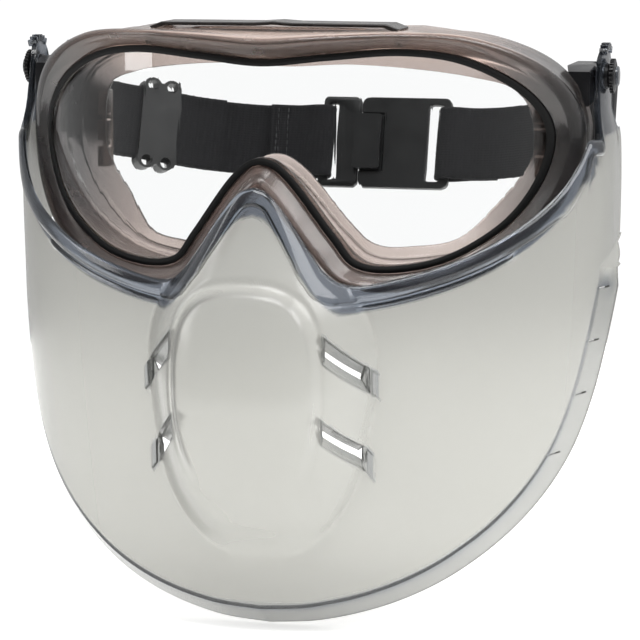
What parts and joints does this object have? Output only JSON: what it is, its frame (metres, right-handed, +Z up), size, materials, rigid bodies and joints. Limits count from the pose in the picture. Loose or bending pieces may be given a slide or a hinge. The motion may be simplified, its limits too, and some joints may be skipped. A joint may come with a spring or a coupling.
{
  "type": "face shield",
  "caption": "Safety goggle with a clear lens, a hinged translucent lower face shield and an adjustable elastic headband with a buckle.",
  "frame": {"origin": "midway between the temples, 4 mm behind the shield's pivot axis and level with it, where the wearer's head holds the goggle", "axes": "+X to the wearer's left, +Y back towards the wearer's head, +Z up"},
  "size_m": [0.2032, 0.1847, 0.1901],
  "materials": {
    "smoke_frame": "translucent smoky soft plastic",
    "clear_lens": "clear",
    "seal_rubber": "matte",
    "black_plastic": "satin",
    "filter_mesh": "fine mesh",
    "shield_haze": "translucent, smooth",
    "cap_haze": "translucent",
    "black_webbing": "woven elastic"
  },
  "bodies": {
    "goggle": {"goggle_frame": "smoke_frame", "lens": "clear_lens", "lens_seal": "seal_rubber", "top_vent_cover": "black_plastic", "top_vent_filter": "filter_mesh", "temple_bracket_left": "black_plastic", "temple_bracket_right": "black_plastic", "pivot_stud_left": "black_plastic", "pivot_stud_right": "black_plastic", "swivel_pin_left": "black_plastic", "swivel_pin_right": "black_plastic", "temple_baffle_left": "smoke_frame", "temple_baffle_right": "smoke_frame"},
    "shield": {"face_shield": "shield_haze"},
    "knob_left": {"pivot_knob_left": "black_plastic", "pivot_cap_left": "cap_haze"},
    "knob_right": {"pivot_knob_right": "black_plastic", "pivot_cap_right": "cap_haze"},
    "headband": {"strap_clip_left": "black_plastic", "strap_clip_right": "black_plastic", "strap_right": "black_webbing", "buckle_hook": "black_plastic"},
    "left_band": {"strap_left": "black_webbing", "buckle_plate": "black_plastic"},
    "slider": {"strap_slider": "black_plastic"}
  },
  "joints": [
    {"name": "shield_flip", "type": "hinge", "parent": "goggle", "child": "shield", "pos_m": [0, -0.004, 0], "axis": [-1, 0, 0], "range_deg": [0, 90]},
    {"name": "knob_left_turn", "type": "hinge", "parent": "goggle", "child": "knob_left", "pos_m": [0, -0.004, 0], "axis": [1, 0, 0], "range_deg": [0, 90]},
    {"name": "knob_right_turn", "type": "hinge", "parent": "goggle", "child": "knob_right", "pos_m": [0, -0.004, 0], "axis": [-1, 0, 0], "range_deg": [0, 90]},
    {"name": "headband_swivel", "type": "hinge", "parent": "goggle", "child": "headband", "pos_m": [0, 0.0075, -0.006], "axis": [1, 0, 0], "range_deg": [-6, 25]},
    {"name": "buckle_release", "type": "hinge", "parent": "headband", "child": "left_band", "pos_m": [0.0921, 0.0202, -0.01057], "axis": [0, -0.3387, -0.9409], "range_deg": [0, 50]},
    {"name": "slider_slide", "type": "slide", "parent": "headband", "child": "slider", "axis": [0.8, 0.5645, -0.2032], "range_m": [-0.004, 0.004]}
  ]
}
